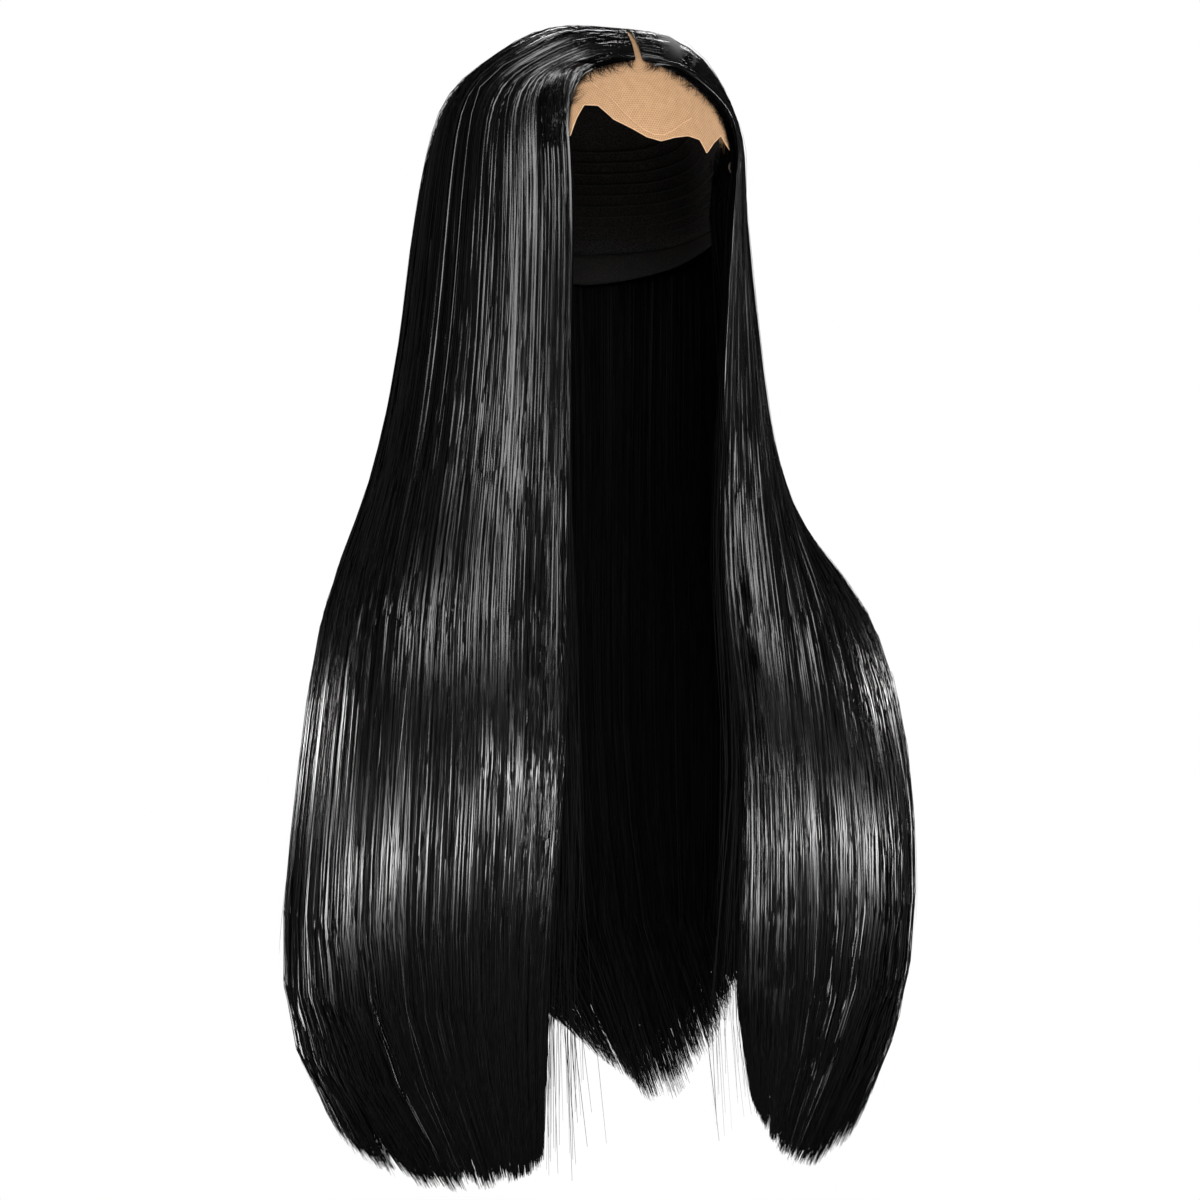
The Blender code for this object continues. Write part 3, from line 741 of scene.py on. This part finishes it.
def color_ramp(tree, source, stops):
    """Colour ramp on a source value."""
    ramp = tree.nodes.new("ShaderNodeValToRGB")
    while len(ramp.color_ramp.elements) < len(stops):
        ramp.color_ramp.elements.new(0.5)
    for element, (place, color) in zip(ramp.color_ramp.elements, stops):
        element.position = place
        element.color = (*color, 1.0)
    tree.links.new(source, ramp.inputs["Fac"])
    return ramp


def value_range(tree, source, low, high):
    """Source value from 0 to 1 mapped to a range."""
    spread = tree.nodes.new("ShaderNodeMapRange")
    spread.inputs["To Min"].default_value = low
    spread.inputs["To Max"].default_value = high
    tree.links.new(source, spread.inputs["Value"])
    return spread


def toned_material(name, color, roughness, scale, stretch, stops):
    """Material whose base colour runs through some stops by a drawn-out noise."""
    material, shader, tree = node_material(name, color, roughness)
    tone = streak_noise(tree, scale, stretch)
    ramp = color_ramp(tree, tone.outputs["Fac"], stops)
    tree.links.new(ramp.outputs["Color"], shader.inputs["Base Color"])
    return material, shader, tree, tone


def add_bump(tree, shader, source, strength, distance, invert=False):
    """Relief on a material by a source value."""
    bump = tree.nodes.new("ShaderNodeBump")
    bump.inputs["Strength"].default_value = strength
    bump.inputs["Distance"].default_value = distance
    bump.invert = invert
    tree.links.new(source, bump.inputs["Height"])
    tree.links.new(bump.outputs["Normal"], shader.inputs["Normal"])


def hair_material():
    """Glossy near-black hair with fine streaks of tone along its fall."""
    material, shader, tree, _ = toned_material(
        "hair_black", (0.003, 0.0027, 0.003), 0.3, 1600.0, 0.008,
        ((0.35, (0.0012, 0.0011, 0.0013)), (0.55, (0.0028, 0.0025, 0.0028)),
         (0.75, (0.0075, 0.0062, 0.0058))))
    gloss = streak_noise(tree, 1500.0, 0.01)
    spread = value_range(tree, gloss.outputs["Fac"], 0.14, 0.28)
    tree.links.new(spread.outputs["Result"], shader.inputs["Roughness"])
    shader.inputs["IOR"].default_value = 1.55
    shader.inputs["Specular IOR Level"].default_value = 0.5
    return material


def shaded_inner_material():
    """Hair on the inside of the fall, rougher and with almost no gloss: this dullness is painted shade,
    standing in for the shade a head inside the fall would give.
    """
    material, shader, tree, tone = toned_material(
        "hair_inside", (0.003, 0.0027, 0.003), 0.6, 800.0, 0.012,
        ((0.35, (0.0012, 0.0011, 0.0013)), (0.7, (0.006, 0.005, 0.005))))
    spread = value_range(tree, tone.outputs["Fac"], 0.42, 0.66)
    tree.links.new(spread.outputs["Result"], shader.inputs["Roughness"])
    # Specular level turned almost off: painted shade inside the fall
    shader.inputs["Specular IOR Level"].default_value = 0.06
    return material


def under_material():
    """Matt dark hair seen only between the strands."""
    material, shader, tree, tone = toned_material(
        "hair_under", (0.002, 0.0018, 0.002), 0.6, 1400.0, 0.01,
        ((0.35, (0.0010, 0.0010, 0.0010)), (0.7, (0.004, 0.0034, 0.0034))))
    shader.inputs["Specular IOR Level"].default_value = 0.15
    add_bump(tree, shader, tone.outputs["Fac"], 0.6, 0.6 * MM)
    return material


def lace_material():
    """Thin nude lace ground between its threads."""
    material, shader, _, _ = toned_material(
        "lace_ground", (0.84, 0.50, 0.26), 0.75, 220.0, 1.0,
        ((0.3, (0.78, 0.46, 0.23)), (0.7, (0.90, 0.55, 0.29))))
    shader.inputs["Alpha"].default_value = 0.62
    return material


def thread_material():
    """Nude thread of the lace net."""
    return toned_material(
        "lace_thread", (0.86, 0.55, 0.32), 0.7, 400.0, 1.0,
        ((0.3, (0.80, 0.50, 0.28)), (0.7, (0.92, 0.61, 0.37))))[0]


def net_material(name, color, scale, alpha=1.0):
    """Stretch net cloth with a fine cell relief."""
    material, shader, tree = node_material(name, color, 0.8)
    place = tree.nodes.new("ShaderNodeTexCoord")
    cells = tree.nodes.new("ShaderNodeTexVoronoi")
    cells.feature = "DISTANCE_TO_EDGE"
    cells.inputs["Scale"].default_value = scale
    tree.links.new(place.outputs["Object"], cells.inputs["Vector"])
    light = tuple(min(part * 2.6 + 0.01, 1.0) for part in color)
    ramp = color_ramp(tree, cells.outputs["Distance"], ((0.04, light), (0.16, color)))
    tree.links.new(ramp.outputs["Color"], shader.inputs["Base Color"])
    add_bump(tree, shader, cells.outputs["Distance"], 0.5, 0.3 * MM, invert=True)
    shader.inputs["Alpha"].default_value = alpha
    return material


def lace_edge_angles(turn_degrees):
    """Angles of the lace's free edge at some turns."""
    drop = np.interp(turn_degrees, LACE_EDGE[:, 0], LACE_EDGE[:, 1]) * MM
    return angles_at_drop(np.radians(turn_degrees), drop)


def seam_angles(turn_degrees):
    """Angles of the seam between lace and cap."""
    share = (np.abs(turn_degrees) / LACE_END_TURN) ** SEAM_SPREAD
    return np.radians(SEAM_ANGLES[0] + (SEAM_ANGLES[1] - SEAM_ANGLES[0]) * share)


def cap_rim_angles(turn_degrees):
    """Angles of the cap's rim at some turns."""
    around = 180 - np.abs(180 - turn_degrees % 360)
    drop = np.interp(around, CAP_RIM[:, 0], CAP_RIM[:, 1]) * MM
    return angles_at_drop(np.radians(turn_degrees), drop)


def cloth_grid(name, turn_degrees, upper, lower, rows, material, lift, closed=False):
    """Sheet of cloth on the head form between two lines round it."""
    share = np.linspace(0, 1, rows)[None]
    angle = upper[:, None] * (1 - share) + lower[:, None] * share
    turn = np.repeat(np.radians(turn_degrees)[:, None], rows, axis=1)
    points = head_points(cap_directions(turn, angle), lift)
    faces = grid_faces(len(turn_degrees), rows, closed)
    return mesh_object(name, points.reshape(-1, 3), faces, material)


def thicken(piece, wall):
    """Give a sheet its wall."""
    modifier = piece.modifiers.new("wall", "SOLIDIFY")
    modifier.thickness = wall
    modifier.offset = 0.0


def build_lace():
    """Lace ground, its threads and its rolled edge."""
    turns = np.linspace(-LACE_END_TURN, LACE_END_TURN, 169)
    ground = cloth_grid("lace_ground", turns, seam_angles(turns), lace_edge_angles(turns), 34,
                        lace_material(), CLOTH_LIFT)
    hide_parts("lace_front")
    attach(ground, "root")
    build_lace_threads()


def lace_cells():
    """Start and end points of the net's threads, laid flat: across and down."""
    row_height = LACE_CELL * math.sqrt(3) / 2
    reach = LACE_CELL / math.sqrt(3)
    wide = int(math.radians(2 * (LACE_NET_TURN + 2)) * LACE_NET_RADIUS / LACE_CELL)
    starts = []
    ends = []
    for row in range(int(LACE_NET_DEPTH / row_height)):
        for column in range(-wide // 2, wide // 2):
            corner = np.array(((column + 0.5 * (row % 2)) * LACE_CELL, row * row_height))
            low = corner + (0, reach / 2)
            starts += [corner - (0, reach / 2), low, low]
            ends += [low, low + (LACE_CELL / 2, reach / 2), low + (-LACE_CELL / 2, reach / 2)]
    return np.stack((starts, ends), axis=1)


def build_lace_threads():
    """Hexagonal net over the lace that shows in front of the hair, its cut edge and its crease."""
    paths = lace_cells()
    turn = paths[..., 0] / LACE_NET_RADIUS
    edge = lace_edge_angles(np.degrees(turn).ravel()).reshape(turn.shape)
    top = angles_at_drop(np.zeros(1), np.array((LACE_NET_TOP_DROP,)))[0]
    angle = top + paths[..., 1] / LACE_NET_RADIUS
    keep = ((angle < edge) & (np.abs(np.degrees(turn)) < LACE_NET_TURN)).all(axis=1)
    points = head_points(cap_directions(turn[keep], angle[keep]), LACE_THREAD_LIFT)
    widths = np.full(points.shape[:2], LACE_THREAD_WIDTH)
    verts, faces = ribbon_mesh(points, unit(points - HEAD_CENTRE), widths, 0.0)
    threads = mesh_object("lace_threads", verts, faces, thread_material(), smooth=False)
    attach(threads, "root")
    turns = np.linspace(-LACE_END_TURN, LACE_END_TURN, 420)
    add_lace_cord("lace_cut_edge", turns, lace_edge_angles(turns), *LACE_CUT_EDGE)
    turns = np.linspace(LACE_CREASE[0, 0], LACE_CREASE[-1, 0], 60)
    drops = np.interp(turns, LACE_CREASE[:, 0], LACE_CREASE[:, 1]) * MM
    angles = angles_at_drop(np.radians(turns), drops)
    add_lace_cord("lace_crease", turns, angles, *LACE_CREASE_CORD)


def add_lace_cord(name, turns, angles, lift, radius):
    """Round thread on the lace along some turns and angles."""
    points = head_points(cap_directions(np.radians(turns), angles), lift)
    add_tube(name, points, radius, thread_material())


def add_tube(name, points, radius, material):
    """Round thread along some points."""
    curve = bpy.data.curves.new(name, "CURVE")
    curve.dimensions = "3D"
    spline = curve.splines.new("POLY")
    spline.points.add(len(points) - 1)
    spline.points.foreach_set("co", np.c_[points, np.ones(len(points))].ravel())
    curve.bevel_depth = radius
    curve.bevel_resolution = 1
    curve.use_fill_caps = True
    curve.materials.append(material)
    piece = bpy.data.objects.new(name, curve)
    bpy.context.scene.collection.objects.link(piece)
    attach(piece, "root")


def build_cap():
    """Stretch cap, nape band, ear tabs and the weft rows inside the cap."""
    net = net_material("cap_net", CAP_COLOR, CAP_CELLS)
    front = np.linspace(-LACE_END_TURN, LACE_END_TURN, 57)
    back = np.linspace(CAP_RIM[0, 0], 360 - CAP_RIM[0, 0], 73)
    turns = np.concatenate((front, back))
    lower = np.concatenate((seam_angles(front) - 0.004, cap_rim_angles(back)))
    dome = cloth_grid("cap_dome_net", turns, np.full(len(turns), 0.01), lower, 26, net,
                      CLOTH_LIFT, closed=True)
    thicken(dome, CLOTH_WALL)
    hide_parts("cap_dome")
    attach(dome, "root")
    band_turns = np.linspace(BAND_START_TURN, 360 - BAND_START_TURN, 81)
    top = cap_rim_angles(band_turns) + BAND_GAP / HEAD_HALVES_UP[2]
    share = np.abs(180 - band_turns) / (180 - BAND_START_TURN)
    height = BAND_HEIGHTS[0] + (BAND_HEIGHTS[1] - BAND_HEIGHTS[0]) * share
    band = cloth_grid("nape_band_cloth", band_turns, top, top + height / HEAD_HALVES_UP[2], 7,
                      net_material("band_cloth", BAND_COLOR, CLOTH_CELLS), CLOTH_LIFT)
    thicken(band, CLOTH_WALL)
    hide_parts("nape_band")
    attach(band, "root")
    build_wefts()
    for side_name, side in (("right", -1), ("left", 1)):
        build_ear_tab(side_name, side)


def build_ear_tab(side_name, side):
    """Sheer brown tab in front of one ear, with its sewn edge."""
    turn_degrees = np.linspace(TAB[0, 0], TAB[-1, 0], 35)
    top = np.interp(turn_degrees, TAB[:, 0], TAB[:, 1]) * MM
    bottom = np.interp(turn_degrees, TAB[:, 0], TAB[:, 2]) * MM
    turns = turn_degrees * side
    upper = angles_at_drop(np.radians(turns), top)
    lower = angles_at_drop(np.radians(turns), bottom)
    sheer = net_material("tab_sheer_" + side_name, TAB_COLOR, CLOTH_CELLS, alpha=0.85)
    tab = cloth_grid("ear_tab_cloth_" + side_name, turns, upper, lower, 12, sheer, CLOTH_LIFT)
    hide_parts("ear_tab_" + side_name)
    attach(tab, "root")
    outline = np.concatenate((cap_directions(np.radians(turns), upper)[::-1],
                              cap_directions(np.radians(turns), lower)))
    edge = net_material("tab_edge_" + side_name, TAB_EDGE_COLOR, CLOTH_CELLS)
    add_tube("ear_tab_edge_" + side_name, head_points(outline, TAB_EDGE_LIFT), TAB_EDGE_RADIUS,
             edge)


def build_wefts():
    """Rows of weft stitched inside the cap from side to side."""
    material = net_material("weft_stitch", WEFT_COLOR, WEFT_CELLS)
    turns = np.linspace(92, 268, 120)
    for row in range(1, WEFT_ROWS + 1):
        angle = cap_rim_angles(turns) * (0.35 + 0.62 * (row / (WEFT_ROWS + 1)))
        points = head_points(cap_directions(np.radians(turns), angle), WEFT_LIFT)
        add_tube(f"weft_row_{row}", points, WEFT_RADIUS, material)


def add_hair(piece):
    """Attach a piece of hair to the root body."""
    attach(piece, "root")


def build_hair():
    """Every strand layer and the dark hair under them."""
    hair = hair_material()
    # Inner hair whose low gloss is painted shade
    inside = shaded_inner_material()
    under = under_material()
    sheets = {
        "front_right": HairSheet([(row, -1) for row in FRONT_RIGHT], FRONT_CUTS,
                                 PARTINGS["front_right"]),
        "front_left": HairSheet([(row, 1) for row in FRONT_LEFT], FRONT_CUTS,
                                PARTINGS["front_left"]),
        "back": HairSheet([(row, -1) for row in BACK_RIGHT] + [(BACK_CENTRE, 1)]
                          + [(row, 1) for row in BACK_LEFT], BACK_CUTS, PARTINGS["back"], 3.0),
    }
    for name, sheet in sheets.items():
        pieces = [strand_layer(f"hair_{name}_{layer}", sheet, inside if inward else hair, count,
                               depths, shares, inward)
                  for layer, count, depths, shares, inward in LAYERS[name]]
        pieces.append(under_layer(f"hair_{name}_under", sheet, under))
        for piece in pieces:
            add_hair(piece)
        nodes = [f"lock_{name}_{number}" for number in range(1, len(sheet.cuts))]
        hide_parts(*nodes)
    for name in ("front_right", "front_left"):
        sheet = sheets[name]
        add_hair(edge_layer(f"hair_{name}_wisps", sheet, inside))
        add_hair(build_hairline_roots(f"hairline_roots_{name}", sheet, hair))
        add_hair(build_baby_hairs(f"baby_hairs_{name}", sheet, inside))
        add_hair(build_knots(f"hair_knots_{name}", sheet, inside))
    for name, sheet in sheets.items():
        add_hair(build_flyaways(f"flyaways_{name}", sheet, hair))


def add_light(name, location, size, energy):
    """Soft box that faces the hair and stays out of the picture."""
    light = bpy.data.lights.new(name, "AREA")
    light.shape = "RECTANGLE"
    light.size, light.size_y = size
    light.energy = energy
    lamp = bpy.data.objects.new(name, light)
    bpy.context.scene.collection.objects.link(lamp)
    lamp.visible_camera = False
    aim(lamp, location, LIGHT_TARGET)


def aim(thing, location, target):
    """Place a thing and turn its -Z to a target."""
    place = Vector(location)
    thing.location = place
    thing.rotation_euler = (Vector(target) - place).to_track_quat("-Z", "Y").to_euler()


def build_studio():
    """Camera at the photograph's angle, a pale floor and soft lights."""
    towards = np.array((-math.sin(CAMERA_TURN), -math.cos(CAMERA_TURN), 0.0))
    right = np.array((math.cos(CAMERA_TURN), -math.sin(CAMERA_TURN), 0.0))
    eye = towards * CAMERA_DISTANCE - right * AXIS_OFFSET + (0, 0, CAMERA_HEIGHT)
    camera_data = bpy.data.cameras.new("camera")
    camera_data.lens = FOCAL_MM
    camera_data.sensor_width = SENSOR_MM
    camera_data.sensor_fit = "HORIZONTAL"
    camera = bpy.data.objects.new("camera", camera_data)
    bpy.context.scene.collection.objects.link(camera)
    aim(camera, eye, eye - towards)
    bpy.context.scene.camera = camera
    floor_material, shader, _ = node_material("floor_pale", (0.93, 0.93, 0.93), 0.9)
    shader.inputs["Specular IOR Level"].default_value = 0.1
    turns = np.linspace(0, 2 * math.pi, 97)[:-1]
    rim = np.stack((np.cos(turns), np.sin(turns), np.zeros(len(turns))), -1) * FLOOR_RADIUS
    floor = mesh_object("floor", rim + (0, 0, FLOOR_HEIGHT), np.arange(len(turns))[None],
                        floor_material, smooth=False)
    floor.visible_glossy = False
    build_world()
    bpy.context.scene.view_settings.view_transform = "Standard"
    for name, turn, climb, distance, size, energy in SOFT_BOXES:
        turn, climb = math.radians(turn), math.radians(climb)
        away = towards * math.cos(turn) + right * math.sin(turn)
        location = LIGHT_TARGET + (away * math.cos(climb) + (0, 0, math.sin(climb))) * distance
        add_light(name, location, size, energy)


def build_world():
    """Even room: white to the eye, dim to the hair so that it stays black."""
    world = bpy.data.worlds.new("studio")
    world.use_nodes = True
    tree = world.node_tree
    seen = tree.nodes.new("ShaderNodeLightPath")
    glow = value_range(tree, seen.outputs["Is Camera Ray"], ROOM_LIGHT, 1.0)
    tree.links.new(glow.outputs["Result"], tree.nodes["Background"].inputs["Strength"])
    tree.nodes["Background"].inputs["Color"].default_value = (1.0, 1.0, 1.0, 1.0)
    bpy.context.scene.world = world


build_lace()
build_cap()
build_hair()
build_studio()
